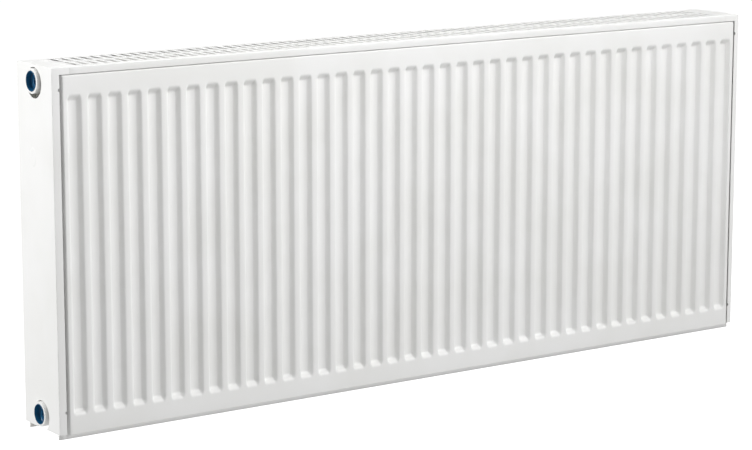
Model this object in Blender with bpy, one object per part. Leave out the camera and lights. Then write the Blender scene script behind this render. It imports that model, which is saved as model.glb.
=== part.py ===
"""A pressed-steel panel radiator: two water panels, a convector on the inner face of each, a tee that joins
the panels at every corner, a slotted top grille, two side covers, and a plastic plug in each port.

Metres, +Z up. X runs along the radiator and the front faces -Y. The origin is on the floor, at the middle
of the length and of the whole depth, lugs included.
"""

import math

import bmesh
import bpy
from mathutils import Vector

MM = 0.001
GAP = 0.3 * MM  # between pieces that touch
ROUND_OFF = 1e-6  # lets a room that is a whole number of pitches hold that number

# The whole radiator.
LENGTH = 1200 * MM  # over the side covers
HEIGHT = 500 * MM  # bottom seam to the top of the grille
DEPTH = 100 * MM  # front face to rear face, without the lugs
LUG_STANDOFF = 10 * MM  # how far the lugs stand behind the rear face

# The water panels, each made of two pressed sheets.
PANEL_SHEET = 1.2 * MM
PRESS_DEPTH = 7.0 * MM  # raised face to recess floor
PRESS_OFFSET = 2.5 * MM  # the raised face and its recesses stand this far right of the middle
FLUTE_PITCH = 30 * MM
FLUTE_MOUTH = 19.5 * MM  # width of a recess at the raised face
FLUTE_DRAFT = 3 * MM  # run of a recess's long wall
FLUTE_END_DRAFT = 5 * MM  # run of a recess's end wall
SEAM_DRAFT = 2 * MM  # run of the wall round the raised face
HEADER_HEIGHT = 27.5 * MM  # plain band above and below the recesses
BOTTOM_SEAM = 6 * MM  # seam flange below the raised face
TOP_SEAM = 7 * MM  # seam flange above it
SEAM_BELOW_TOP = 4 * MM  # top of the seam to the top of the radiator
RAISED_INSET = 12.7 * MM  # end of the radiator to the raised face, before its offset
SEAM_INSET = 3 * MM  # end of the radiator to the seam's edge
LEAST_END_RIB = 6 * MM

# The convectors, folded from thin sheet and welded on the panels.
FIN_SHEET = 0.5 * MM
FIN_DEPTH = 25 * MM
FIN_LAND = 9 * MM  # flat width of each fold
FIN_END_INSET = 60 * MM  # end of the radiator to the first fin
FIN_HEADER_CLEARANCE = 14 * MM  # header band to the fins' ends

# The tees and their ports.
PORT_INSET = 25 * MM  # port axis from the top and bottom, and the cross tube from the end
PORT_RISE = 3 * MM  # both rows of ports stand this far above those places
CROSS_TUBE_RADIUS = 8 * MM
CROSS_BORE_RADIUS = 5 * MM  # stays clear of the recesses' ends
BOSS_RADIUS = 17 * MM
BOSS_PROUD = 4 * MM  # boss beyond the side cover
BOSS_START = 12 * MM  # boss behind the cross tube's axis
PORT_BORE_RADIUS = 10.5 * MM
PORT_BORE_DEPTH = 12 * MM
RIM_WIDTH = 3.0 * MM  # the boss's end face, round the plug's seat
SEAT_DEPTH = 9 * MM
ROUND_STEPS = 24

# The plastic plugs.
PLUG_PROUD = 0.8 * MM
PLUG_LENGTH = 8 * MM  # body behind the head
PLUG_WALL = 2.1 * MM
PLUG_RIM = 0.7 * MM
PLUG_DISH_DEPTH = 8.3 * MM
PLUG_END = 1.7 * MM

# The side covers.
COVER_SHEET = 1.0 * MM
COVER_SETBACK = 0.3 * MM  # lips behind the raised faces
COVER_LIPS = {"left": 11.3 * MM, "right": 8.5 * MM}  # over the panels' ends
COVER_CAP = 27 * MM  # length of the cover's top
COVER_BOTTOM = 8 * MM
PORT_HOLE_CLEARANCE = 3.8 * MM  # round the boss
PORT_HOLE_DROP = 2.5 * MM  # port axis to the middle of the cover's hole
NOTCH_WIDTH = 2 * MM
NOTCH_HEIGHT = 4 * MM
NOTCH_INSET = 30 * MM  # from the cover's top and bottom

# The top grille and its clips.
GRILLE_SHEET = 1.0 * MM
GRILLE_LIP = 10 * MM
SLOT_PITCH = 15 * MM
SLOT_WIDTH = 8 * MM
SLOT_EDGE = 10 * MM  # front or rear fold to the slots
SLOT_SPINE = 8 * MM  # between the two rows
SLOT_END = 10 * MM  # least plain length at each end
CLIP_SHEET = 1.0 * MM
CLIP_WIDTH = 14 * MM
CLIP_INSET = 150 * MM  # end of the radiator to a clip

# The hanging lugs.
LUG_SHEET = 2.0 * MM
LUG_HEIGHT = 30 * MM
LUG_LOOP = 24 * MM  # outer width of the loop
LUG_FOOT = 13 * MM
LUG_INSET = 150 * MM  # end of the radiator to a lug
LUG_EDGE = 75 * MM  # top or bottom of the radiator to a lug

FRONT = -(DEPTH + LUG_STANDOFF) / 2
REAR = FRONT + DEPTH
MIDDLE = FRONT + DEPTH / 2
PANEL_DEPTH = 2 * (PRESS_DEPTH + PANEL_SHEET) + GAP
SEAM_TOP = HEIGHT - SEAM_BELOW_TOP
RAISED_TOP = SEAM_TOP - TOP_SEAM
FLUTE_BOTTOM = BOTTOM_SEAM + HEADER_HEIGHT
FLUTE_TOP = RAISED_TOP - HEADER_HEIGHT
PORT_HEIGHTS = {"bottom": PORT_INSET + PORT_RISE, "top": HEIGHT - PORT_INSET + PORT_RISE}
SEAT_RADIUS = BOSS_RADIUS - RIM_WIDTH
TUBE_X = LENGTH / 2 - PORT_INSET
BOSS_END_X = LENGTH / 2 + BOSS_PROUD
GRILLE_HALF = LENGTH / 2 - COVER_CAP - GAP
SIDES = {"left": -1, "right": 1}


def clear_scene():
    for obj in list(bpy.data.objects):
        bpy.data.objects.remove(obj)


def material(name, colour, roughness, metallic=0.0):
    made = bpy.data.materials.new(name)
    made.use_nodes = True
    shader = made.node_tree.nodes["Principled BSDF"]
    shader.inputs["Base Color"].default_value = (*colour, 1.0)
    shader.inputs["Roughness"].default_value = roughness
    shader.inputs["Metallic"].default_value = metallic
    return made


class Surface:
    """An open or closed mesh put together face by face. Points that are equal become one vertex."""

    def __init__(self):
        self.mesh = bmesh.new()
        self.known = {}

    def vertex(self, point):
        key = tuple(round(value, 8) for value in point)
        if key not in self.known:
            self.known[key] = self.mesh.verts.new(point)
        return self.known[key]

    def face(self, points, facing):
        """Adds a flat face whose outside is on the side that facing points to."""
        made = self.mesh.faces.new([self.vertex(point) for point in points])
        made.normal_update()
        if made.normal.dot(Vector(facing)) < 0:
            made.normal_flip()

    def finish(self, name):
        data = bpy.data.meshes.new(name)
        self.mesh.to_mesh(data)
        self.mesh.free()
        return data


def add_object(name, data, finish=None, location=(0, 0, 0), half_turn=False):
    """Puts a mesh in the scene. A half turn about Z makes a piece for the other end or the other face."""
    obj = bpy.data.objects.new(name, data)
    bpy.context.scene.collection.objects.link(obj)
    obj.location = location
    obj.rotation_euler[2] = math.pi if half_turn else 0.0
    if finish and not data.materials:
        data.materials.append(finish)
    return obj


def thicken(obj, thickness):
    """Gives a surface the thickness of its sheet, behind its outside."""
    sheet = obj.modifiers.new("sheet", "SOLIDIFY")
    sheet.thickness = thickness
    sheet.offset = -1.0
    sheet.use_even_offset = True
    sheet.use_quality_normals = True


def boolean(obj, tool, operation):
    cut = obj.modifiers.new(f"{operation.lower()} {tool.name}", "BOOLEAN")
    cut.operation = operation
    cut.object = tool
    cut.solver = "EXACT"
    tool.hide_render = True
    tool.display_type = "WIRE"


def turned(name, profile):
    """A solid turned about the X axis from (position along the axis, radius) points, both ends on the axis."""
    solid = bmesh.new()
    rings = []
    for along, radius in profile[1:-1]:
        ring = []
        for step in range(ROUND_STEPS):
            angle = 2 * math.pi * step / ROUND_STEPS
            ring.append(solid.verts.new((along, radius * math.cos(angle), radius * math.sin(angle))))
        rings.append(ring)
    for first, second in zip(rings, rings[1:]):
        for step in range(ROUND_STEPS):
            after = (step + 1) % ROUND_STEPS
            solid.faces.new((first[step], first[after], second[after], second[step]))
    solid.faces.new(rings[0])
    solid.faces.new(rings[-1])
    bmesh.ops.recalc_face_normals(solid, faces=solid.faces)
    data = bpy.data.meshes.new(name)
    solid.to_mesh(data)
    solid.free()
    data.shade_smooth()
    data.set_sharp_from_angle(angle=math.radians(35))
    return data


def rod(name, start, end, radius):
    return turned(name, [(start, 0), (start, radius), (end, radius), (end, 0)])


def extruded(name, outline, start, end):
    """A solid with an outline of (Y, Z) points, from start to end along X."""
    solid = Surface()
    near = [(start, y, z) for y, z in outline]
    far = [(end, y, z) for y, z in outline]
    solid.face(near, (-1, 0, 0))
    solid.face(far, (1, 0, 0))
    for index in range(len(outline)):
        after = (index + 1) % len(outline)
        solid.mesh.faces.new([solid.vertex(p) for p in (near[index], near[after], far[after], far[index])])
    bmesh.ops.recalc_face_normals(solid.mesh, faces=solid.mesh.faces)
    return solid.finish(name)


def folded(name, outline, bottom, top):
    """A folded strip as a surface: an outline of (X, Y) points, upright, with its outside towards -Y."""
    strip = Surface()
    for (x0, y0), (x1, y1) in zip(outline, outline[1:]):
        strip.face([(x0, y0, bottom), (x1, y1, bottom), (x1, y1, top), (x0, y0, top)], (0, -1, 0))
    return strip.finish(name)


def rectangle(half, bottom, top, y, centre=0.0):
    """The corners of an upright rectangle at one y: bottom left, bottom right, top right, top left."""
    return [
        (centre - half, y, bottom),
        (centre + half, y, bottom),
        (centre + half, y, top),
        (centre - half, y, top),
    ]


def flute_centres(side):
    """The recesses' middles along X. A sheet that is turned to face +Y needs side -1, others 1."""
    room = LENGTH - 2 * (RAISED_INSET + LEAST_END_RIB) - FLUTE_MOUTH
    count = int(room / FLUTE_PITCH + ROUND_OFF) + 1
    first = side * PRESS_OFFSET - (count - 1) / 2 * FLUTE_PITCH
    return [first + index * FLUTE_PITCH for index in range(count)]


def panel_sheet_mesh(name, side):
    """The outside of one pressed sheet, facing -Y with its raised face at y = 0."""
    sheet = Surface()
    front = (0, -1, 0)
    half = LENGTH / 2
    raised_half = half - RAISED_INSET
    middle = side * PRESS_OFFSET
    foot_low = BOTTOM_SEAM - SEAM_DRAFT
    foot_high = RAISED_TOP + SEAM_DRAFT
    edge = rectangle(half - SEAM_INSET, 0, SEAM_TOP, PRESS_DEPTH)
    foot = rectangle(raised_half + SEAM_DRAFT, foot_low, foot_high, PRESS_DEPTH, middle)
    raised = rectangle(raised_half, BOTTOM_SEAM, RAISED_TOP, 0, middle)
    left_low, right_low, right_high, left_high = rectangle(raised_half, FLUTE_BOTTOM, FLUTE_TOP, 0, middle)
    for index in range(4):
        after = (index + 1) % 4
        sheet.face([edge[index], edge[after], foot[after], foot[index]], front)
    sheet.face([foot[0], foot[1], raised[1], raised[0]], front)
    sheet.face([foot[1], foot[2], raised[2], right_high, right_low, raised[1]], front)
    sheet.face([foot[2], foot[3], raised[3], raised[2]], front)
    sheet.face([foot[3], foot[0], raised[0], left_low, left_high, raised[3]], front)

    low_line = [left_low]
    high_line = [left_high]
    for centre in flute_centres(side):
        mouth = rectangle(FLUTE_MOUTH / 2, FLUTE_BOTTOM, FLUTE_TOP, 0, centre)
        floor = rectangle(
            FLUTE_MOUTH / 2 - FLUTE_DRAFT,
            FLUTE_BOTTOM + FLUTE_END_DRAFT,
            FLUTE_TOP - FLUTE_END_DRAFT,
            PRESS_DEPTH,
            centre,
        )
        for index in range(4):
            after = (index + 1) % 4
            sheet.face([mouth[index], mouth[after], floor[after], floor[index]], front)
        sheet.face(floor, front)
        low_line += [mouth[0], mouth[1]]
        high_line += [mouth[3], mouth[2]]
    low_line.append(right_low)
    high_line.append(right_high)
    for index in range(0, len(low_line), 2):
        rib = [low_line[index], low_line[index + 1], high_line[index + 1], high_line[index]]
        sheet.face(rib, front)
    sheet.face([raised[0], raised[1]] + low_line[::-1], front)
    sheet.face(high_line + [raised[2], raised[3]], front)
    return sheet.finish(name)


def make_panels(paint):
    """Two panels. The outer sheet of each faces out, and its inner sheet, with the tees' holes, faces the gap."""
    sheets = {False: panel_sheet_mesh("panel_sheet", 1), True: panel_sheet_mesh("turned_panel_sheet", -1)}
    hole = rod("tee_hole", 0, DEPTH, CROSS_BORE_RADIUS)
    holes = []
    for side, sign in SIDES.items():
        for level, height in PORT_HEIGHTS.items():
            place = (sign * TUBE_X, FRONT, height)
            tool = add_object(f"hole_tool_{level}_{side}", hole, location=place)
            tool.rotation_euler[2] = math.pi / 2
            holes.append(tool)
    places = {
        "front_panel_outer_sheet": (FRONT, False),
        "front_panel_inner_sheet": (FRONT + PANEL_DEPTH, True),
        "rear_panel_inner_sheet": (REAR - PANEL_DEPTH, False),
        "rear_panel_outer_sheet": (REAR, True),
    }
    for name, (y, half_turn) in places.items():
        sheet = add_object(name, sheets[half_turn], paint, (0, y, 0), half_turn)
        thicken(sheet, PANEL_SHEET)
        if "inner" in name:
            for tool in holes:
                boolean(sheet, tool, "DIFFERENCE")


def convector_mesh(name, side):
    """A wave of square folds. Its near folds lie on the ribs between the recesses."""
    far = FIN_DEPTH - FIN_SHEET
    ribs = [centre + FLUTE_PITCH / 2 for centre in flute_centres(side)]
    reach = LENGTH / 2 - FIN_END_INSET
    lands = [rib for rib in ribs if abs(rib) < reach]
    outline = []
    for rib in lands:
        outline += [(rib - FIN_LAND / 2, 0), (rib + FIN_LAND / 2, 0)]
        if rib < lands[-1]:
            middle = rib + FLUTE_PITCH / 2
            outline += [(middle - FIN_LAND / 2, far), (middle + FIN_LAND / 2, far)]
    bottom = FLUTE_BOTTOM + FIN_HEADER_CLEARANCE
    return folded(name, outline, bottom, FLUTE_TOP - FIN_HEADER_CLEARANCE)


def make_convectors(paint):
    front_data = convector_mesh("convector", 1)
    rear_data = convector_mesh("turned_convector", -1)
    front = add_object("front_convector", front_data, paint, (0, FRONT + PANEL_DEPTH + GAP, 0))
    rear = add_object("rear_convector", rear_data, paint, (0, REAR - PANEL_DEPTH - GAP, 0), True)
    thicken(front, FIN_SHEET)
    thicken(rear, FIN_SHEET)


def tee_mesh():
    """A cross tube along Y with a side boss towards +X. The origin is where their axes meet."""
    half_tube = DEPTH / 2 - PANEL_DEPTH - GAP
    boss_end = BOSS_END_X - TUBE_X
    tube = add_object("tee_tube", rod("tee_tube", -half_tube, half_tube, CROSS_TUBE_RADIUS))
    boss = add_object("tee_boss", rod("tee_boss", -BOSS_START, boss_end, BOSS_RADIUS))
    bore = add_object("tee_bore", rod("tee_bore", -DEPTH, DEPTH, CROSS_BORE_RADIUS))
    seat = boss_end - SEAT_DEPTH
    bore_end = seat - PORT_BORE_DEPTH
    port_profile = [
        (0, 0),
        (0, CROSS_BORE_RADIUS),
        (bore_end, CROSS_BORE_RADIUS),
        (bore_end, PORT_BORE_RADIUS),
        (seat, PORT_BORE_RADIUS),
        (seat, SEAT_RADIUS),
        (boss_end + BOSS_PROUD, SEAT_RADIUS),
        (boss_end + BOSS_PROUD, 0),
    ]
    port = add_object("tee_port", turned("tee_port", port_profile))
    tube.rotation_euler[2] = math.pi / 2
    bore.rotation_euler[2] = math.pi / 2
    boolean(boss, tube, "UNION")
    boolean(boss, bore, "DIFFERENCE")
    boolean(boss, port, "DIFFERENCE")
    bpy.context.view_layer.update()
    graph = bpy.context.evaluated_depsgraph_get()
    data = bpy.data.meshes.new_from_object(boss.evaluated_get(graph))
    for blank in (tube, boss, bore, port):
        bpy.data.objects.remove(blank)
    return data


def make_tees(paint):
    data = tee_mesh()
    for side, sign in SIDES.items():
        for level, height in PORT_HEIGHTS.items():
            place = (sign * TUBE_X, MIDDLE, height)
            add_object(f"tee_{level}_{side}", data, paint, place, side == "left")


def make_plugs(plastic):
    """A cup with a wide head that sits in the boss and a threaded body. Its origin is on the port's axis."""
    body = PORT_BORE_RADIUS - GAP
    head = SEAT_RADIUS - GAP
    seat = GAP - SEAT_DEPTH
    tip = seat - PLUG_LENGTH
    dish = PLUG_PROUD - PLUG_DISH_DEPTH
    profile = [
        (tip, 0),
        (tip, body),
        (seat, body),
        (seat, head),
        (PLUG_PROUD, head),
        (PLUG_PROUD, head - PLUG_RIM),
        (dish, head - PLUG_RIM),
        (dish, body - PLUG_WALL),
        (tip + PLUG_END, body - PLUG_WALL),
        (tip + PLUG_END, 0),
    ]
    data = turned("transit_plug", profile)
    for side, sign in SIDES.items():
        for level, height in PORT_HEIGHTS.items():
            place = (sign * BOSS_END_X, MIDDLE, height)
            add_object(f"transit_plug_{level}_{side}", data, plastic, place, side == "left")


def cover_mesh(name, lip_width):
    """The outside of the left cover: its side at x = 0, a lip at front and rear, and a short top."""
    cover = Surface()
    half = DEPTH / 2 - COVER_SETBACK
    lip_bottom = HEIGHT - GRILLE_LIP
    notch_x = lip_width - NOTCH_WIDTH
    lip = [(0, HEIGHT), (0, COVER_BOTTOM), (lip_width, COVER_BOTTOM)]
    for notch in (COVER_BOTTOM + NOTCH_INSET, HEIGHT - NOTCH_INSET):
        low = notch - NOTCH_HEIGHT / 2
        high = notch + NOTCH_HEIGHT / 2
        lip += [(lip_width, low), (notch_x, low), (notch_x, high), (lip_width, high)]
    lip += [(lip_width, lip_bottom), (COVER_CAP, lip_bottom), (COVER_CAP, HEIGHT)]
    cover.face([(x, -half, z) for x, z in lip], (0, -1, 0))
    cover.face([(x, half, z) for x, z in lip], (0, 1, 0))
    plate = [(0, -half, COVER_BOTTOM), (0, half, COVER_BOTTOM), (0, half, HEIGHT), (0, -half, HEIGHT)]
    cover.face(plate, (-1, 0, 0))
    top = [(0, -half, HEIGHT), (0, half, HEIGHT), (COVER_CAP, half, HEIGHT), (COVER_CAP, -half, HEIGHT)]
    cover.face(top, (0, 0, 1))
    return cover.finish(name)


def make_covers(paint):
    hole = rod("port_hole", -BOSS_RADIUS, BOSS_RADIUS, BOSS_RADIUS + PORT_HOLE_CLEARANCE)
    for side, sign in SIDES.items():
        place = Vector((sign * LENGTH / 2, MIDDLE, 0))
        data = cover_mesh(f"{side}_cover", COVER_LIPS[side])
        cover = add_object(f"side_cover_{side}", data, paint, place, side == "right")
        thicken(cover, COVER_SHEET)
        for level, height in PORT_HEIGHTS.items():
            centre = place + Vector((0, 0, height - PORT_HOLE_DROP))
            tool = add_object(f"port_tool_{level}_{side}", hole, location=centre)
            boolean(cover, tool, "DIFFERENCE")


def grille_mesh(name):
    """The outside of the grille: a deck with two rows of slots, and a lip at front and rear."""
    grille = Surface()
    half = DEPTH / 2 - COVER_SETBACK
    slot_length = half - SLOT_EDGE - SLOT_SPINE / 2
    count = int((2 * GRILLE_HALF - 2 * SLOT_END - SLOT_WIDTH) / SLOT_PITCH + ROUND_OFF) + 1
    ends = [-GRILLE_HALF]
    for index in range(count):
        centre = (index - (count - 1) / 2) * SLOT_PITCH
        ends += [centre - SLOT_WIDTH / 2, centre + SLOT_WIDTH / 2]
    ends.append(GRILLE_HALF)
    rows = [-half + SLOT_EDGE, SLOT_SPINE / 2]

    def line(y):
        return [(x, y, HEIGHT) for x in ends]

    above = [(GRILLE_HALF, -half, HEIGHT), (-GRILLE_HALF, -half, HEIGHT)]
    for near in rows:
        near_line = line(near)
        far_line = line(near + slot_length)
        grille.face(above + near_line, (0, 0, 1))
        for index in range(0, len(ends), 2):
            bar = [near_line[index], near_line[index + 1], far_line[index + 1], far_line[index]]
            grille.face(bar, (0, 0, 1))
        above = far_line[::-1]
    grille.face(above + [(-GRILLE_HALF, half, HEIGHT), (GRILLE_HALF, half, HEIGHT)], (0, 0, 1))
    for sign in (-1, 1):
        lip = rectangle(GRILLE_HALF, HEIGHT - GRILLE_LIP, HEIGHT, sign * half)
        grille.face(lip, (0, sign, 0))
    return grille.finish(name)


def make_grille(paint, clip_finish):
    """The grille, and the clips under its deck that push on to the panels' top seams."""
    grille = add_object("top_grille", grille_mesh("grille"), paint, (0, MIDDLE, 0))
    thicken(grille, GRILLE_SHEET)
    inside = PANEL_SHEET + 1.5 * GAP
    outside = inside + CLIP_SHEET
    top = HEIGHT - GRILLE_SHEET - GAP
    roof = SEAM_TOP + GAP
    bottom = RAISED_TOP + SEAM_DRAFT
    outline = [
        (-outside, bottom),
        (-inside, bottom),
        (-inside, roof),
        (inside, roof),
        (inside, bottom),
        (outside, bottom),
        (outside, top),
        (-outside, top),
    ]
    data = extruded("grille_clip", outline, -CLIP_WIDTH / 2, CLIP_WIDTH / 2)
    seams = {"front": FRONT + PANEL_DEPTH / 2, "rear": REAR - PANEL_DEPTH / 2}
    for face, y in seams.items():
        for side, sign in SIDES.items():
            place = (sign * (LENGTH / 2 - CLIP_INSET), y, 0)
            add_object(f"grille_clip_{face}_{side}", data, clip_finish, place)


def make_lugs(paint):
    """A bent strap on the back of the rear panel, with an upright loop for the wall bracket's hook."""
    half = LUG_LOOP / 2
    far = LUG_STANDOFF - GAP - LUG_SHEET
    outline = [
        (-half - LUG_FOOT, 0),
        (-half + LUG_SHEET, 0),
        (-half + LUG_SHEET, far),
        (half - LUG_SHEET, far),
        (half - LUG_SHEET, 0),
        (half + LUG_FOOT, 0),
    ]
    strap = Surface()
    for (x0, y0), (x1, y1) in zip(outline, outline[1:]):
        inward = (y1 - y0, -(x1 - x0), 0)
        low = -LUG_HEIGHT / 2
        high = LUG_HEIGHT / 2
        strap.face([(x0, y0, low), (x1, y1, low), (x1, y1, high), (x0, y0, high)], inward)
    data = strap.finish("hanging_lug")
    levels = {"bottom": LUG_EDGE, "top": HEIGHT - LUG_EDGE}
    for side, sign in SIDES.items():
        for level, height in levels.items():
            place = (sign * (LENGTH / 2 - LUG_INSET), REAR + GAP, height)
            lug = add_object(f"hanging_lug_{level}_{side}", data, paint, place)
            thicken(lug, LUG_SHEET)


clear_scene()
white_paint = material("white_paint", (0.86, 0.86, 0.85), 0.38)
primed_paint = material("primed_paint", (0.80, 0.80, 0.79), 0.5)
blue_plastic = material("blue_plastic", (0.02, 0.12, 0.30), 0.4)
clip_plastic = material("clip_plastic", (0.75, 0.76, 0.76), 0.5)
make_panels(white_paint)
make_convectors(primed_paint)
make_tees(white_paint)
make_plugs(blue_plastic)
make_covers(white_paint)
make_grille(white_paint, clip_plastic)
make_lugs(white_paint)
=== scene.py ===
import math

import bmesh
import bpy
from mathutils import Matrix, Vector


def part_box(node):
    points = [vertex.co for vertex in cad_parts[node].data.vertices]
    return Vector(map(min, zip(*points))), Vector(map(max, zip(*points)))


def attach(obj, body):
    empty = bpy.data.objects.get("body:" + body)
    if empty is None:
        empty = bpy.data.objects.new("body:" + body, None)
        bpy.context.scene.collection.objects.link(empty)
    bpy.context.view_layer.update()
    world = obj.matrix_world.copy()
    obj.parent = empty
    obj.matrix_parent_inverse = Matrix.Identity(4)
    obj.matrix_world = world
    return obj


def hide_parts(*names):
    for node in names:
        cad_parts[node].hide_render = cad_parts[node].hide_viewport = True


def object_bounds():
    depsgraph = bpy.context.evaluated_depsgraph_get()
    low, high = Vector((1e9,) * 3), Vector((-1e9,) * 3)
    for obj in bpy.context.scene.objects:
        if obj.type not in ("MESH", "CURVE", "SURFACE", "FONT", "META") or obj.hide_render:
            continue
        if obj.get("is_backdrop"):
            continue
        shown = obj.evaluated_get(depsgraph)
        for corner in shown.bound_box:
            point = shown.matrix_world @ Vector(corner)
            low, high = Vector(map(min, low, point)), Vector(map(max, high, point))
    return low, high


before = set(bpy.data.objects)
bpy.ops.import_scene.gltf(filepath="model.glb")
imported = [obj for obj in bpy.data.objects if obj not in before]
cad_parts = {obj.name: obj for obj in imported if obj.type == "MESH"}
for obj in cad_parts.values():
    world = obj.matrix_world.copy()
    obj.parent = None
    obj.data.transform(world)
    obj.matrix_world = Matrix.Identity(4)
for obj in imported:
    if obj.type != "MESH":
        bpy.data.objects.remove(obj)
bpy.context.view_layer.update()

# ---- Outer sheets of the two water panels ----
# 1.2 mm deep-drawing steel, pressed with a row of upright recesses between raised water channels, and
# seam-welded to its twin round the rim. Degreased, dipped and finished in white powder coat.
MM = 0.001
SHEET = 1.2 * MM
PRESS = 7.0 * MM  # raised face to recess floor
PITCH = 30 * MM
RECESSES = 39
PRESS_SHIFT = 2.5 * MM  # the raised face and its recesses lie this far right of the middle
MOUTH = 9.75 * MM  # half the recess's width at the raised face
WALL_RUN = 3.0 * MM
END_RUN = 5.0 * MM
CORNER = 1.15  # plan radius of a recess's corner, in wall runs
WALL_ROUND = 0.55  # rounding of the shoulder and the foot, in wall runs
RIM_RUN = 2.0 * MM
RIM_ROUND = 1.8 * MM
RIM_CORNER = 5 * MM
SEAM_TOP = 496 * MM
SEAM_HALF = 597 * MM
RAISED_HALF = 589.3 * MM
RAISED_LOW, RAISED_HIGH = 4 * MM, 491 * MM
RECESS_LOW, RECESS_HIGH = 33.5 * MM, 461.5 * MM
PANEL_DEPTH = 16.7 * MM  # face to face of one panel
NET_INSIDE, NET_OUTSIDE = 4 * MM, 1.5 * MM  # the fine net's reach on both sides of the raised face's edge
END_OUTSIDE, END_INSIDE = 3 * MM, 2 * MM  # and on both sides of a recess's sloping end
LOW_BAND, HIGH_BAND = 20 * MM, 475 * MM  # one row of the net in each plain band
LONG_INSET = 20 * MM  # where a recess's straight length starts
LONG_STEPS = 6
OUTER_STEPS, INNER_STEPS = 8, 5  # net rows on a recess's wall


def linear(code):
    """An sRGB hex colour as a linear one."""
    parts = [int(code[at : at + 2], 16) / 255 for at in (1, 3, 5)]
    return tuple(v / 12.92 if v <= 0.04045 else ((v + 0.055) / 1.055) ** 2.4 for v in parts) + (1.0,)


def add_node(tree, kind, settings=None, links=None):
    """A node with its settings, and links given as socket: (node, output)."""
    node = tree.nodes.new(kind)
    for key, value in (settings or {}).items():
        if isinstance(key, int) or key in node.inputs:
            node.inputs[key].default_value = value
        else:
            setattr(node, key, value)
    for key, (source, output) in (links or {}).items():
        tree.links.new(source.outputs[output], node.inputs[key])
    return node


def new_finish(name):
    """A material with its node tree, Principled shader and object coordinates."""
    finish = bpy.data.materials.new(name)
    finish.use_nodes = True
    tree = finish.node_tree
    return finish, tree, tree.nodes["Principled BSDF"], add_node(tree, "ShaderNodeTexCoord")


def two_tone(tree, shader, place, patch, detail, band, dark, light):
    """Base colour from dark to light in patches of that size, over that band of the noise."""
    settings = {"Scale": 1 / patch, "Detail": detail}
    noise = add_node(tree, "ShaderNodeTexNoise", settings, {"Vector": place})
    ramp = add_node(tree, "ShaderNodeValToRGB", {}, {"Fac": (noise, "Fac")})
    for stop, position, colour in zip(ramp.color_ramp.elements, band, (dark, light)):
        stop.position = position
        stop.color = linear(colour)
    tree.links.new(ramp.outputs["Color"], shader.inputs["Base Color"])


def bumped(tree, place, shader, layers):
    """Noise bumps laid one over another: (width, detail, height, strength) each."""
    before = {}
    for width, detail, height, strength in layers:
        settings = {"Scale": 1 / width, "Detail": detail}
        noise = add_node(tree, "ShaderNodeTexNoise", settings, {"Vector": place})
        bump = add_node(tree, "ShaderNodeBump", {"Distance": height, "Strength": strength}, before)
        tree.links.new(noise.outputs["Fac"], bump.inputs["Height"])
        before = {"Normal": (bump, "Normal")}
    tree.links.new(bump.outputs["Normal"], shader.inputs["Normal"])


# Polyester powder coat, sprayed dry and baked at 180 C: a half-gloss white skin with a faint orange peel
# over slow waves of the sheet. The real peel is about 1.5 mm across and a few microns high, and is drawn
# 5 mm across so that it shows.
COAT_CLOUD = 90 * MM
COAT_GLOSS_CLOUD = 25 * MM
SHEET_WAVE, PEEL = 40 * MM, 5 * MM

powder_coat, tree, shader, where = new_finish("white_powder_coat")
shader.inputs["IOR"].default_value = 1.5
here = (where, "Object")
two_tone(tree, shader, here, COAT_CLOUD, 3, (0.35, 0.65), "#EFEFED", "#F3F3F2")
gloss_settings = {"Scale": 1 / COAT_GLOSS_CLOUD, "Detail": 2}
coat_noise = add_node(tree, "ShaderNodeTexNoise", gloss_settings, {"Vector": here})
coat_gloss = add_node(
    tree,
    "ShaderNodeMapRange",
    {"From Min": 0.3, "From Max": 0.7, "To Min": 0.3, "To Max": 0.4},
    {"Value": (coat_noise, "Fac")},
)
tree.links.new(coat_gloss.outputs["Result"], shader.inputs["Roughness"])
bumped(tree, here, shader, [(SHEET_WAVE, 1, 0.15 * MM, 0.25), (PEEL, 2, 0.03 * MM, 0.35)])


def spread(start, end, steps):
    """Evenly spaced values from start to end, both included."""
    return [start + (end - start) * at / steps for at in range(steps + 1)]


def eased(distance, run, rounding):
    """From 0 to 1 over the run, with both corners rounded."""

    def rise(s):
        if s <= -rounding:
            return 0.0
        return s if s >= rounding else (s + rounding) ** 2 / (4 * rounding)

    return (rise(distance) - rise(distance - run)) / run


def inside(across, up, radius):
    """How far a point is inside a rectangle with rounded corners, from its distances to two sides."""
    if across < radius and up < radius:
        return radius - math.hypot(radius - across, radius - up)
    return min(across, up)


def press_depth(x, z):
    """How far the pressed sheet lies behind its raised face."""
    from_side = RAISED_HALF - abs(x - PRESS_SHIFT)
    from_end = min(z - RAISED_LOW, RAISED_HIGH - z)
    raised = eased(inside(from_side, from_end, RIM_CORNER), RIM_RUN, RIM_ROUND)
    first = PRESS_SHIFT - (RECESSES - 1) / 2 * PITCH
    nearest = first + min(max(round((x - first) / PITCH), 0), RECESSES - 1) * PITCH
    across = (MOUTH - abs(x - nearest)) / WALL_RUN
    up = min(z - RECESS_LOW, RECESS_HIGH - z) / END_RUN
    recess = eased(inside(across, up, CORNER), 1.0, WALL_ROUND)
    return PRESS * max(1 - raised, recess)


def new_mesh(name, points, faces, finish, smooth_angle=None):
    """A smooth-shaded mesh, with edges sharper than smooth_angle left hard."""
    data = bpy.data.meshes.new(name)
    data.from_pydata(points, [], faces)
    data.materials.append(finish)
    data.shade_smooth()
    if smooth_angle:
        data.set_sharp_from_angle(angle=smooth_angle)
    obj = bpy.data.objects.new(name, data)
    bpy.context.scene.collection.objects.link(obj)
    return obj


def thicken(obj, thickness):
    """Gives a surface its thickness, on the side away from its normals."""
    solid = obj.modifiers.new("thickness", "SOLIDIFY")
    solid.thickness = thickness
    solid.offset = -1
    solid.use_even_offset = True
    solid.use_quality_normals = True


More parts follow.
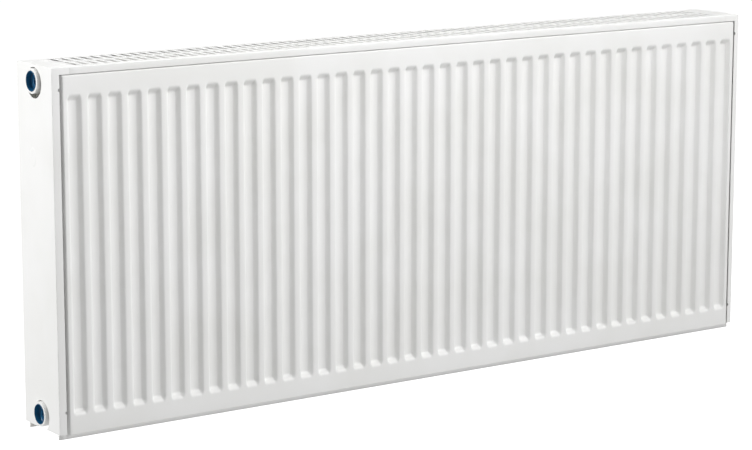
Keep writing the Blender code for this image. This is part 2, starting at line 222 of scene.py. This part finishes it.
def pressed_sheet(name, face_y, outward, wall_steps, finish):
    """A pressed sheet as a fine net. outward is the Y way its raised face looks, -1 or 1."""
    rim_steps = wall_steps + 2
    rim = spread(RAISED_HALF - NET_INSIDE, RAISED_HALF + NET_OUTSIDE, rim_steps)
    across = [-SEAM_HALF] + [PRESS_SHIFT - x for x in rim[::-1]]
    outside = WALL_ROUND * WALL_RUN
    for index in range(RECESSES):
        centre = PRESS_SHIFT + (index - (RECESSES - 1) / 2) * PITCH
        wall = spread(MOUTH + outside, MOUTH - WALL_RUN - outside, wall_steps)
        across += [centre - x for x in wall] + [centre] + [centre + x for x in wall[::-1]]
    across += [PRESS_SHIFT + x for x in rim] + [SEAM_HALF]
    ends = END_RUN * (1 + WALL_ROUND)
    end_steps = wall_steps + 4
    up = [0.0] + spread(RAISED_LOW - NET_OUTSIDE, RAISED_LOW + NET_INSIDE, rim_steps) + [LOW_BAND]
    up += spread(RECESS_LOW - END_OUTSIDE, RECESS_LOW + ends + END_INSIDE, end_steps)
    up += spread(RECESS_LOW + LONG_INSET, RECESS_HIGH - LONG_INSET, LONG_STEPS)
    up += spread(RECESS_HIGH - ends - END_INSIDE, RECESS_HIGH + END_OUTSIDE, end_steps)
    up += [HIGH_BAND] + spread(RAISED_HIGH - NET_INSIDE, RAISED_HIGH + NET_OUTSIDE, rim_steps)
    up += [SEAM_TOP]
    points = [(x, face_y - outward * press_depth(x, z), z) for z in up for x in across]
    wide = len(across)
    faces = []
    for row in range(len(up) - 1):
        for column in range(wide - 1):
            at = row * wide + column
            corners = (at, at + 1, at + wide + 1, at + wide)
            faces.append(corners if outward < 0 else corners[::-1])
    sheet = new_mesh(name, points, faces, finish)
    thicken(sheet, SHEET)
    return sheet


def stand_for(obj, node, body):
    """obj replaces that CAD node and rides on that body."""
    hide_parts(node)
    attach(obj, body)
    return obj


front_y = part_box("front_panel_outer_sheet")[0].y
rear_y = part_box("rear_panel_outer_sheet")[1].y
for name, node, face_y, outward in (
    ("front_outer_sheet", "front_panel_outer_sheet", front_y, -1),
    ("rear_outer_sheet", "rear_panel_outer_sheet", rear_y, 1),
):
    outer = pressed_sheet(name, face_y, outward, OUTER_STEPS, powder_coat)
    stand_for(outer, node, "radiator_body")

# ---- Inner sheets of the water panels, and the convectors ----
# The inner sheets are the outer ones' twins, turned to face the gap. A convector is 0.5 mm steel folded
# to and fro and spot-welded on their water channels. Both have only the dip primer's thin, duller white.
FIN_SHEET = 0.5 * MM
FIN_DEPTH = 25 * MM
FIN_LAND = 9 * MM
FIN_ROUND = 1.8 * MM
FIN_ROWS = 4
FILLET_STEPS = 4
FIN_REACH = 540 * MM
FIN_LOW, FIN_HIGH = 47.5 * MM, 447.5 * MM
GAP = 0.3 * MM

# Electrophoretic dip primer: a thin even white with a dull surface, slightly warmer in the low places.
# The blotches are the film's change of thickness, tens of millimetres across. Its grain is far finer than
# the 3 mm drawn here.
PRIMER_BLOTCH, PRIMER_GRAIN = 45 * MM, 3 * MM

dip_primer, tree, shader, where = new_finish("white_dip_primer")
here = (where, "Object")
two_tone(tree, shader, here, PRIMER_BLOTCH, 4, (0.3, 0.7), "#E0DFDB", "#EAEAE7")
shader.inputs["Roughness"].default_value = 0.55
bumped(tree, here, shader, [(PRIMER_GRAIN, 2, 0.03 * MM, 0.3)])

for name, node, face_y, outward in (
    ("front_inner_sheet", "front_panel_inner_sheet", front_y + PANEL_DEPTH, 1),
    ("rear_inner_sheet", "rear_panel_inner_sheet", rear_y - PANEL_DEPTH, -1),
):
    inner = pressed_sheet(name, face_y, outward, INNER_STEPS, dip_primer)
    stand_for(inner, node, "radiator_body")


def filleted(outline, radius, steps):
    """An open line of (across, along) points with its inner corners rounded."""
    line = [outline[0]]
    for before, corner, after in zip(outline, outline[1:], outline[2:]):
        back = (Vector(before) - Vector(corner)).normalized()
        on = (Vector(after) - Vector(corner)).normalized()
        half = back.angle(on) / 2
        setback = radius / math.tan(half)
        centre = Vector(corner) + (back + on).normalized() * (radius / math.sin(half))
        start = Vector(corner) + back * setback - centre
        end = Vector(corner) + on * setback - centre
        sweep = -start.angle_signed(end)
        for at in range(steps + 1):
            line.append(tuple(centre + Matrix.Rotation(sweep * at / steps, 2) @ start))
    return line + [outline[-1]]


def ribbon(name, line, levels, place, finish):
    """A folded strip: place turns a line's point and a level into a point in the frame."""
    points = [place(p, level) for level in levels for p in line]
    wide = len(line)
    faces = [
        (row * wide + at, row * wide + at + 1, (row + 1) * wide + at + 1, (row + 1) * wide + at)
        for row in range(len(levels) - 1)
        for at in range(wide - 1)
    ]
    return new_mesh(name, points, faces, finish, math.radians(40))


def convector(name, node, land_y, inward):
    """Square folds whose lands lie on the ribs between the recesses. inward is the way to the gap."""
    ribs = [PRESS_SHIFT + (index - RECESSES / 2 + 1) * PITCH for index in range(RECESSES - 1)]
    lands = [x for x in ribs if abs(x) < FIN_REACH]
    far = FIN_DEPTH - FIN_SHEET
    outline = []
    for x in lands:
        outline += [(x - FIN_LAND / 2, 0.0), (x + FIN_LAND / 2, 0.0)]
        if x < lands[-1]:
            middle = x + PITCH / 2
            outline += [(middle - FIN_LAND / 2, far), (middle + FIN_LAND / 2, far)]
    line = filleted(outline, FIN_ROUND, FILLET_STEPS)
    if inward < 0:
        line = line[::-1]
    fins = ribbon(
        name,
        line,
        spread(FIN_LOW, FIN_HIGH, FIN_ROWS),
        lambda p, level: (p[0], land_y + inward * p[1], level),
        dip_primer,
    )
    thicken(fins, FIN_SHEET)
    return stand_for(fins, node, "radiator_body")


convector("front_fins", "front_convector", front_y + PANEL_DEPTH + GAP, 1)
convector("rear_fins", "rear_convector", rear_y - PANEL_DEPTH - GAP, -1)

# ---- Tees: cross tubes with the side ports ----
# Machined steel, welded between the two panels at each corner. A short tube carries water from panel to
# panel, and a boss on it comes out through the side cover with a G 1/2 thread and a seat for a washer.
TUBE_RADIUS, TUBE_BORE = 8 * MM, 5 * MM
BOSS_RADIUS = 17 * MM
BOSS_START, BOSS_END = -12 * MM, 29 * MM
SEAT_RADIUS, SEAT_DEPTH = 14 * MM, 9 * MM
PORT_RADIUS, PORT_DEPTH = 10.5 * MM, 21 * MM
THREAD_PITCH = 1.814 * MM
THREAD_DEPTH = 1.16 * MM
TURNED_STEPS = 64
TURNED_SHARP = math.radians(35)
BOSS_CHAMFER = 2 * MM
BOSS_ROUND, ROUND_KNEE = 0.7 * MM, 0.2 * MM
SEAT_CHAMFER = 0.3 * MM
OVERSHOOT = 1 * MM  # how far the port's cutter passes the boss's face

# Cut steel, left bare inside the port and wiped with oil: a grey metal with fine turning marks. The marks
# are 0.1 mm apart, and are drawn 1 mm apart.
STEEL_CLOUD, TURNING_MARK = 6 * MM, 1 * MM

bare_steel, tree, shader, where = new_finish("turned_steel_oiled")
shader.inputs["Metallic"].default_value = 1.0
here = (where, "Object")
two_tone(tree, shader, here, STEEL_CLOUD, 3, (0.3, 0.7), "#8B8987", "#B0AEAB")
shader.inputs["Roughness"].default_value = 0.38
bumped(tree, here, shader, [(TURNING_MARK, 2, 0.02 * MM, 0.4)])


def turned(name, profile, finish, ribs=0):
    """A solid turned about the X axis from (along, radius) points, both ends on the axis.
    A point's third value is how deep the ribs stand into it there."""
    points = []
    rings = []
    for along, radius, *rib in profile:
        if radius == 0:
            rings.append([len(points)])
            points.append((along, 0, 0))
            continue
        rings.append(list(range(len(points), len(points) + TURNED_STEPS)))
        for step in range(TURNED_STEPS):
            angle = 2 * math.pi * step / TURNED_STEPS
            inner = radius
            if rib:
                inner -= rib[0] * max(0.0, math.cos(ribs * angle)) ** 6
            points.append((along, inner * math.cos(angle), inner * math.sin(angle)))
    faces = []
    for one, two in zip(rings, rings[1:]):
        for step in range(TURNED_STEPS):
            after = (step + 1) % TURNED_STEPS
            corners = [one[step % len(one)], two[step % len(two)]]
            corners += [two[after % len(two)], one[after % len(one)]]
            faces.append([c for at, c in enumerate(corners) if c not in corners[:at]])
    obj = new_mesh(name, points, faces, finish, TURNED_SHARP)
    tidy = bmesh.new()
    tidy.from_mesh(obj.data)
    bmesh.ops.recalc_face_normals(tidy, faces=tidy.faces)
    tidy.to_mesh(obj.data)
    tidy.free()
    return obj


def cut(obj, tool, operation="DIFFERENCE"):
    """Joins or cuts with an exact Boolean, keeps the result in the mesh and removes the tool."""
    step = obj.modifiers.new("cut", "BOOLEAN")
    step.operation = operation
    step.solver = "EXACT"
    step.object = tool
    graph = bpy.context.evaluated_depsgraph_get()
    made = bpy.data.meshes.new_from_object(obj.evaluated_get(graph))
    obj.modifiers.clear()
    obj.data = made
    bpy.data.objects.remove(tool)


def softened(obj, width):
    """A small rounding on every sharp edge, as paint and deburring leave."""
    edge = obj.modifiers.new("edges", "BEVEL")
    edge.width = width
    edge.segments = 2
    edge.limit_method = "ANGLE"
    edge.angle_limit = math.radians(50)


quarter_turn = Matrix.Rotation(math.pi / 2, 4, "Z")
half_tube = (rear_y - front_y) / 2 - PANEL_DEPTH - GAP
tee_tube = [(-half_tube, 0), (-half_tube, TUBE_RADIUS), (half_tube, TUBE_RADIUS), (half_tube, 0)]
boss_outline = [
    (BOSS_START, 0),
    (BOSS_START, BOSS_RADIUS - BOSS_CHAMFER),
    (BOSS_START + BOSS_CHAMFER, BOSS_RADIUS),
    (BOSS_END - BOSS_ROUND, BOSS_RADIUS),
    (BOSS_END - ROUND_KNEE, BOSS_RADIUS - ROUND_KNEE),
    (BOSS_END, BOSS_RADIUS - BOSS_ROUND),
    (BOSS_END, 0),
]
port_end = BOSS_END - PORT_DEPTH
port_hollow = [(0, 0), (0, TUBE_BORE), (port_end, TUBE_BORE)]
for coil in range(int((PORT_DEPTH - SEAT_DEPTH) / THREAD_PITCH)):
    root = port_end + coil * THREAD_PITCH
    port_hollow += [(root, PORT_RADIUS - THREAD_DEPTH), (root + THREAD_PITCH / 2, PORT_RADIUS)]
port_hollow += [
    (BOSS_END - SEAT_DEPTH, PORT_RADIUS),
    (BOSS_END - SEAT_DEPTH, SEAT_RADIUS - SEAT_CHAMFER),
    (BOSS_END - SEAT_DEPTH + SEAT_CHAMFER, SEAT_RADIUS),
    (BOSS_END + OVERSHOOT, SEAT_RADIUS),
    (BOSS_END + OVERSHOOT, 0),
]
tee = turned("tee", boss_outline, powder_coat)
tube = turned("tube", tee_tube, powder_coat)
tube.matrix_world = quarter_turn
cut(tee, tube, "UNION")
bore = turned("bore", [(-1, 0), (-1, TUBE_BORE), (1, TUBE_BORE), (1, 0)], powder_coat)
bore.matrix_world = quarter_turn
cut(tee, bore)
hollow = turned("hollow", port_hollow, bare_steel)
cut(tee, hollow)

levels = ("bottom", "top")
sides = {"left": -1, "right": 1}
for side, sign in sides.items():
    for level in levels:
        node = f"tee_{level}_{side}"
        low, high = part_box(node)
        axis_x = (high.x - BOSS_END) if sign > 0 else (low.x + BOSS_END)
        placed = tee.copy()
        placed.data = tee.data.copy()
        placed.name = f"port_tee_{level}_{side}"
        turn = Matrix.Rotation(0 if sign > 0 else math.pi, 4, "Z")
        centre = Vector((axis_x, (low.y + high.y) / 2, (low.z + high.z) / 2))
        placed.data.transform(Matrix.Translation(centre) @ turn)
        bpy.context.scene.collection.objects.link(placed)
        placed.data.shade_smooth()
        placed.data.set_sharp_from_angle(angle=TURNED_SHARP)
        stand_for(placed, node, "radiator_body")
bpy.data.objects.remove(tee)

# ---- Transit plugs ----
# Moulded blue polyethylene cups, pushed and turned into each port at the factory to keep dirt out. The
# wide head lies in the boss's seat, and four ribs in the hollow give the fingers something to turn.
PLUG_PROUD = 0.8 * MM
PLUG_HEAD = 13.7 * MM
PLUG_BODY = 10.2 * MM
PLUG_SEAT = -8.7 * MM
PLUG_TIP = -16.7 * MM
PLUG_DISH = 13.0 * MM
PLUG_DISH_FLOOR = -7.5 * MM
PLUG_BORE = 8.1 * MM
PLUG_RIB = 1.3 * MM
PLUG_RIBS = 4

# Low-density polyethylene with a blue pigment: a waxy gloss over a slightly cloudy blue, with the soft
# unevenness that a mould leaves.
PLUG_CLOUD, MOULD_WAVE = 7 * MM, 1.5 * MM

polyethylene, tree, shader, where = new_finish("blue_polyethylene_moulded")
here = (where, "Object")
two_tone(tree, shader, here, PLUG_CLOUD, 3, (0.3, 0.7), "#1A5074", "#246690")
shader.inputs["Roughness"].default_value = 0.22
shader.inputs["IOR"].default_value = 1.51
bumped(tree, here, shader, [(MOULD_WAVE, 2, 0.03 * MM, 0.3)])

plug_profile = [
    (PLUG_TIP, 0),
    (PLUG_TIP, PLUG_BODY - 1.2 * MM),
    (PLUG_TIP + 1.2 * MM, PLUG_BODY),
    (PLUG_SEAT - 0.4 * MM, PLUG_BODY),
    (PLUG_SEAT, PLUG_BODY + 0.4 * MM),
    (PLUG_SEAT, PLUG_HEAD - 0.3 * MM),
    (PLUG_SEAT + 0.3 * MM, PLUG_HEAD),
    (PLUG_PROUD - 0.3 * MM, PLUG_HEAD),
    (PLUG_PROUD - 0.1 * MM, PLUG_HEAD - 0.1 * MM),
    (PLUG_PROUD, PLUG_HEAD - 0.3 * MM),
    (PLUG_PROUD, PLUG_DISH + 0.3 * MM),
    (PLUG_PROUD - 0.1 * MM, PLUG_DISH + 0.1 * MM),
    (PLUG_PROUD - 0.3 * MM, PLUG_DISH),
    (PLUG_DISH_FLOOR + 0.6 * MM, PLUG_DISH - 0.1 * MM),
    (PLUG_DISH_FLOOR, PLUG_DISH - 0.7 * MM),
    (PLUG_DISH_FLOOR, PLUG_BORE + 0.5 * MM),
    (PLUG_DISH_FLOOR - 0.15 * MM, PLUG_BORE + 0.15 * MM),
    (PLUG_DISH_FLOOR - 0.5 * MM, PLUG_BORE, 0.6 * PLUG_RIB),
    (PLUG_DISH_FLOOR - 1.2 * MM, PLUG_BORE, PLUG_RIB),
    (PLUG_TIP + 2.3 * MM, PLUG_BORE, PLUG_RIB),
    (PLUG_TIP + 1.8 * MM, PLUG_BORE - 0.5 * MM, PLUG_RIB),
    (PLUG_TIP + 1.7 * MM, PLUG_BORE - 2 * MM),
    (PLUG_TIP + 1.7 * MM, 0),
]
for side, sign in sides.items():
    for level in levels:
        node = f"transit_plug_{level}_{side}"
        low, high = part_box(node)
        face_x = (high.x - PLUG_PROUD) if sign > 0 else (low.x + PLUG_PROUD)
        plug = turned(f"port_plug_{level}_{side}", plug_profile, polyethylene, PLUG_RIBS)
        turn = Matrix.Rotation(0 if sign > 0 else math.pi, 4, "Z")
        centre = Vector((face_x, (low.y + high.y) / 2, (low.z + high.z) / 2))
        plug.data.transform(Matrix.Translation(centre) @ turn)
        stand_for(plug, node, f"plug_{level}_{side}")

# ---- Side covers ----
# 1 mm steel, cut, punched and folded: a side with a lip over each panel's end and a short top beside the
# grille. Springy, pushed on endways, white like the panels. A blank oval pad is pressed in the left one.
COVER_SHEET = 1.0 * MM
COVER_FOLD = 1.4 * MM
FOLD_STEPS = 5
COVER_EDGE = 0.2 * MM
SHEET_SHARP = math.radians(32)
LEFT_LIP, RIGHT_LIP = 11.3 * MM, 8.5 * MM
COVER_CAP = 27 * MM
LIP_HEIGHT = 10 * MM
NOTCH_DEPTH = 2 * MM
NOTCHES = ((36 * MM, 40 * MM), (468 * MM, 472 * MM))
PORT_HOLE = 20.8 * MM
PORT_LEVELS = (25.5 * MM, 475.5 * MM)
PUNCH_HALF = 8 * MM
PAD_RISE = 0.5 * MM
PAD_HALF = (8.5 * MM, 13 * MM)
PAD_EDGE = 1.2 * MM
PAD_PLACE = (2 * MM, 376 * MM)
PAD_NET_HALF = (10 * MM, 15 * MM)  # the fine net round the pad


def side_cover(name, node, body, side_x, inward, lip, pad):
    """side_x is the outer face, and inward is 1 for the left cover and -1 for the right one."""
    low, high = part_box(node)
    across = [low.y, high.y]
    up = [low.z, high.z, high.z - LIP_HEIGHT] + [z for notch in NOTCHES for z in notch]
    if pad:
        (pad_y, pad_z), (net_y, net_z) = PAD_PLACE, PAD_NET_HALF
        across += spread(pad_y - net_y, pad_y + net_y, 40)
        up += spread(pad_z - net_z, pad_z + net_z, 60)
    across.sort()
    up.sort()

    def rise(y, z):
        reach = math.hypot((y - PAD_PLACE[0]) / PAD_HALF[0], (z - PAD_PLACE[1]) / PAD_HALF[1])
        return PAD_RISE * eased((1 - reach) * PAD_HALF[0], PAD_EDGE, PAD_EDGE / 2) if pad else 0.0

    shell = bmesh.new()
    known = {}

    def corner(u, y, z):
        key = (round(u, 7), round(y, 7), round(z, 7))
        if key not in known:
            raised = rise(y, z) if u == 0 else 0.0
            known[key] = shell.verts.new((side_x + inward * (u - raised), y, z))
        return known[key]

    def patch(corners):
        shell.faces.new([corner(*c) for c in corners])

    for z0, z1 in zip(up, up[1:]):
        for y0, y1 in zip(across, across[1:]):
            patch([(0, y0, z0), (0, y1, z0), (0, y1, z1), (0, y0, z1)])
        notched = any(a <= (z0 + z1) / 2 <= b for a, b in NOTCHES)
        capped = z0 >= high.z - LIP_HEIGHT - 1e-6
        columns = [0, lip - NOTCH_DEPTH]
        columns += [] if notched else [lip]
        columns += [COVER_CAP] if capped else []
        for y in (low.y, high.y):
            for u0, u1 in zip(columns, columns[1:]):
                patch([(u0, y, z0), (u1, y, z0), (u1, y, z1), (u0, y, z1)])
    columns = [0, lip - NOTCH_DEPTH, lip, COVER_CAP]
    for y0, y1 in zip(across, across[1:]):
        for u0, u1 in zip(columns, columns[1:]):
            patch([(u0, y0, high.z), (u1, y0, high.z), (u1, y1, high.z), (u0, y1, high.z)])
    bmesh.ops.recalc_face_normals(shell, faces=shell.faces)
    side_face = min(shell.faces, key=lambda f: abs(f.calc_center_median().x - side_x))
    if side_face.normal.x * inward > 0:
        bmesh.ops.reverse_faces(shell, faces=shell.faces)
    joined = [e for e in shell.edges if len(e.link_faces) == 2]
    bmesh.ops.bevel(
        shell,
        geom=[e for e in joined if e.calc_face_angle() > math.radians(60)],
        offset=COVER_FOLD,
        offset_type="OFFSET",
        segments=FOLD_STEPS,
        profile=0.5,
        affect="EDGES",
    )
    data = bpy.data.meshes.new(name)
    shell.to_mesh(data)
    shell.free()
    data.materials.append(powder_coat)
    cover = bpy.data.objects.new(name, data)
    bpy.context.scene.collection.objects.link(cover)
    thicken(cover, COVER_SHEET)
    for height in PORT_LEVELS:
        hole = turned("hole", [(-1, 0), (-1, PORT_HOLE), (1, PORT_HOLE), (1, 0)], powder_coat)
        centre = Vector((side_x, (low.y + high.y) / 2, height))
        hole.data.transform(Matrix.Translation(centre) @ Matrix.Scale(PUNCH_HALF, 4, (1, 0, 0)))
        cut(cover, hole)
    cover.data.shade_smooth()
    cover.data.set_sharp_from_angle(angle=SHEET_SHARP)
    softened(cover, COVER_EDGE)
    return stand_for(cover, node, body)


left_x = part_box("side_cover_left")[0].x
right_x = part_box("side_cover_right")[1].x
side_cover("left_side_cover", "side_cover_left", "left_cover", left_x, 1, LEFT_LIP, True)
side_cover("right_side_cover", "side_cover_right", "right_cover", right_x, -1, RIGHT_LIP, False)

# ---- Top grille ----
# 1 mm steel strip, punched with two rows of slots that let the warm air out, and folded down at the front
# and the rear. It lies on the panels' seams, is held by clips and is powder-coated like them.
GRILLE_SHEET = 1.0 * MM
GRILLE_FOLD = 1.8 * MM
GRILLE_EDGE = 0.18 * MM
SLOT_PITCH = 15 * MM
SLOTS = 75
SLOT_HALF = 4 * MM
SLOT_EDGE = 10 * MM
SPINE_HALF = 4 * MM
SLOT_CORNER = 2.2 * MM
CORNER_STEPS = 4
BEND_STEPS = 5
SLOT_BORDER = 2 * MM  # metal round each slot that belongs to its cell of the net

low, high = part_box("top_grille")
deck_middle = (low.y + high.y) / 2
near_edge, far_edge = low.y + SLOT_EDGE, high.y - SLOT_EDGE
deck_near, deck_far = near_edge - SLOT_BORDER, far_edge + SLOT_BORDER
starts = [(at - SLOTS / 2) * SLOT_PITCH for at in range(SLOTS + 1)]
columns = [low.x] + starts + [high.x]
net_points = {}
net_faces = []


def net_face(*corners):
    """A face from (x, y, z) corners, which shares its points with its neighbours."""
    keys = [tuple(round(v, 7) for v in corner) for corner in corners]
    net_faces.append([net_points.setdefault(key, len(net_points)) for key in keys])


lip_front = [(low.y, low.z), (low.y, high.z), (deck_near, high.z)]
lip_front = filleted(lip_front, GRILLE_FOLD, BEND_STEPS)
lip_rear = [(deck_far, high.z), (high.y, high.z), (high.y, low.z)]
lip_rear = filleted(lip_rear, GRILLE_FOLD, BEND_STEPS)
spine_half = SPINE_HALF - SLOT_BORDER
spine = [(deck_middle - spine_half, high.z), (deck_middle + spine_half, high.z)]
for strip in (lip_front, spine, lip_rear):
    for (y0, z0), (y1, z1) in zip(strip, strip[1:]):
        for x0, x1 in zip(columns, columns[1:]):
            net_face((x0, y0, z0), (x1, y0, z0), (x1, y1, z1), (x0, y1, z1))
slot_rows = ((near_edge, deck_middle - SPINE_HALF), (deck_middle + SPINE_HALF, far_edge))
for slot_near, slot_far in slot_rows:
    y0, y1 = slot_near - SLOT_BORDER, slot_far + SLOT_BORDER
    for x0, x1 in ((columns[0], columns[1]), (columns[-2], columns[-1])):
        net_face((x0, y0, high.z), (x1, y0, high.z), (x1, y1, high.z), (x0, y1, high.z))
    for x0, x1 in zip(starts, starts[1:]):
        left_x = (x0 + x1) / 2 - SLOT_HALF + SLOT_CORNER
        right_x = (x0 + x1) / 2 + SLOT_HALF - SLOT_CORNER
        near_y, far_y = slot_near + SLOT_CORNER, slot_far - SLOT_CORNER
        centres = ((left_x, near_y, 180), (right_x, near_y, 270), (right_x, far_y, 0), (left_x, far_y, 90))
        arcs = []
        for x, y, start in centres:
            arc = []
            for degrees in spread(0, 90, CORNER_STEPS):
                a = math.radians(start + degrees)
                arc.append((x + SLOT_CORNER * math.cos(a), y + SLOT_CORNER * math.sin(a), high.z))
            arcs.append(arc)
        cell = [(x0, y0, high.z), (x1, y0, high.z), (x1, y1, high.z), (x0, y1, high.z)]
        for at, arc in enumerate(arcs):
            following = (at + 1) % 4
            for one, two in zip(arc, arc[1:]):
                net_face(cell[at], two, one)
            net_face(cell[at], cell[following], arcs[following][0], arc[-1])
grille = new_mesh("grille_deck", list(net_points), net_faces, powder_coat, SHEET_SHARP)
thicken(grille, GRILLE_SHEET)
softened(grille, GRILLE_EDGE)
stand_for(grille, "top_grille", "grille")

# ---- Grille clips ----
# Four saddles of natural nylon, moulded in one shot, that snap under the grille's deck and push on to the
# panels' top seams.
CLIP_WALL = 1.0 * MM
CLIP_ROUND = 1.2 * MM
CLIP_EDGE = 0.2 * MM
CLIP_ROWS = 4

# Uncoloured nylon as moulded: milky, slightly yellow and satin, with a faint cloudiness.
NYLON_CLOUD, NYLON_GRAIN = 8 * MM, 1.2 * MM

nylon, tree, shader, where = new_finish("natural_nylon_moulded")
here = (where, "Object")
two_tone(tree, shader, here, NYLON_CLOUD, 2, (0.3, 0.7), "#D9D8CF", "#E4E3DC")
shader.inputs["Roughness"].default_value = 0.42
shader.inputs["IOR"].default_value = 1.53
bumped(tree, here, shader, [(NYLON_GRAIN, 2, 0.02 * MM, 0.3)])

for row in ("front", "rear"):
    for side in sides:
        node = f"grille_clip_{row}_{side}"
        low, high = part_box(node)
        outline = [(low.y, low.z), (low.y, high.z), (high.y, high.z), (high.y, low.z)]
        clip = ribbon(
            f"grille_saddle_{row}_{side}",
            filleted(outline, CLIP_ROUND, FILLET_STEPS),
            spread(low.x, high.x, CLIP_ROWS),
            lambda p, level: (level, p[0], p[1]),
            nylon,
        )
        thicken(clip, CLIP_WALL)
        clip.modifiers["thickness"].offset = 1
        softened(clip, CLIP_EDGE)
        stand_for(clip, node, "grille")

# ---- Hanging lugs ----
# 2 mm steel straps bent into a loop and spot-welded on the rear panel. A wall bracket's hook goes up into
# each loop. They are painted with the panels.
LUG_SHEET = 2.0 * MM
LUG_LOOP_HALF = 12 * MM
LUG_ROUND = 1.3 * MM
LUG_EDGE = 0.35 * MM
LUG_ROWS = 4

for side in sides:
    for level in levels:
        node = f"hanging_lug_{level}_{side}"
        low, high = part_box(node)
        middle = (low.x + high.x) / 2
        loop_left = middle - LUG_LOOP_HALF + LUG_SHEET
        loop_right = middle + LUG_LOOP_HALF - LUG_SHEET
        loop_back = high.y - LUG_SHEET
        outline = [
            (low.x, low.y),
            (loop_left, low.y),
            (loop_left, loop_back),
            (loop_right, loop_back),
            (loop_right, low.y),
            (high.x, low.y),
        ]
        lug = ribbon(
            f"wall_lug_{level}_{side}",
            filleted(outline, LUG_ROUND, FILLET_STEPS),
            spread(low.z, high.z, LUG_ROWS),
            lambda p, height: (p[0], p[1], height),
            powder_coat,
        )
        thicken(lug, LUG_SHEET)
        softened(lug, LUG_EDGE)
        stand_for(lug, node, "radiator_body")

# ---- Floor and light ----
# A plain matt white floor that glows a little of itself, four soft panels of light, and a room whose far
# glow is stronger below and on the right, so that the recesses' walls keep their shade.
FLOOR_HALF = 16.0
FLOOR_CLOUD = 2.0
FLOOR_GLOW = 0.72
ROOM_BRIGHT_WAY = (0.9, 0.0, -1.0)
ROOM_REACH = 1.35  # about the length of the way above
ROOM_DIM, ROOM_BRIGHT = 0.12, 0.88

# Matt white painted board: no gloss at all, and hardly any change of tone.
floor_white, tree, shader, where = new_finish("matt_white_floor")
two_tone(tree, shader, (where, "Object"), FLOOR_CLOUD, 2, (0.3, 0.7), "#FAFAFA", "#FDFDFD")
shader.inputs["Roughness"].default_value = 0.9
shader.inputs["Emission Color"].default_value = (1, 1, 1, 1)
shader.inputs["Emission Strength"].default_value = FLOOR_GLOW
floor_corners = [(x * FLOOR_HALF, y * FLOOR_HALF, 0) for x, y in ((-1, -1), (1, -1), (1, 1), (-1, 1))]
floor = new_mesh("floor", floor_corners, [(0, 1, 2, 3)], floor_white)
floor.visible_diffuse = False
floor.visible_glossy = False
floor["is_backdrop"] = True

world = bpy.data.worlds.new("studio")
world.use_nodes = True
room = world.node_tree
background = room.nodes["Background"]
background.inputs["Color"].default_value = (1, 1, 1, 1)
direction = add_node(room, "ShaderNodeTexCoord")
toward_glow = add_node(
    room,
    "ShaderNodeVectorMath",
    {"operation": "DOT_PRODUCT", 1: ROOM_BRIGHT_WAY},
    {0: (direction, "Generated")},
)
glow = add_node(
    room,
    "ShaderNodeMapRange",
    {"From Min": -ROOM_REACH, "From Max": ROOM_REACH, "To Min": ROOM_DIM, "To Max": ROOM_BRIGHT},
    {"Value": (toward_glow, "Value")},
)
room.links.new(glow.outputs["Result"], background.inputs["Strength"])
bpy.context.scene.world = world


def soft_light(name, place, target, width, height, power):
    """A rectangular light panel at a place, aimed at a target, with its power in watts."""
    data = bpy.data.lights.new(name, "AREA")
    data.shape = "RECTANGLE"
    data.size = width
    data.size_y = height
    data.energy = power
    lamp = bpy.data.objects.new(name, data)
    lamp.location = place
    lamp.rotation_euler = (Vector(target) - Vector(place)).to_track_quat("-Z", "Y").to_euler()
    bpy.context.scene.collection.objects.link(lamp)


soft_light("key", (0, -1.2, 1.6), (0, 0, 0.3), 0.9, 0.7, 16.5)
soft_light("right", (2.0, -1.7, 2.1), (-0.1, 0, 0.4), 0.9, 0.9, 19)
soft_light("side", (-2.6, 0.6, 1.2), (-0.6, 0, 0.3), 1.2, 1.4, 50)
soft_light("overhead", (0, 0.4, 2.4), (0, 0, 0.5), 2.4, 1.2, 11)

# ---- Camera ----
# A long lens beyond the radiator's left end and 0.9 m up, which looks along the front and a little down on
# the grille.
SENSOR = 36.0
FOCAL_LENGTH = 121.432979
CLIP_START, CLIP_END = 0.1, 100
YAW, TILT, ROLL = math.radians(34.753), math.radians(10.573), math.radians(-0.004)
CAMERA_PLACE = Vector((-2114.2, -2919.4, 902.3)) * MM + Vector((0, front_y, 0))  # from the front face

lens = bpy.data.cameras.new("camera")
lens.sensor_width = SENSOR
lens.lens = FOCAL_LENGTH
lens.clip_start, lens.clip_end = CLIP_START, CLIP_END
camera = bpy.data.objects.new("camera", lens)
ahead = Vector((math.sin(YAW) * math.cos(TILT), math.cos(YAW) * math.cos(TILT), -math.sin(TILT)))
level_right = Vector((math.cos(YAW), -math.sin(YAW), 0))
level_up = level_right.cross(ahead)
right = level_right * math.cos(ROLL) + level_up * math.sin(ROLL)
camera_up = right.cross(ahead)
turned_frame = Matrix((right, camera_up, -ahead)).transposed().to_4x4()
camera.matrix_world = Matrix.Translation(CAMERA_PLACE) @ turned_frame
bpy.context.scene.collection.objects.link(camera)
bpy.context.scene.camera = camera
bpy.context.scene.view_settings.view_transform = "Standard"

low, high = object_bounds()
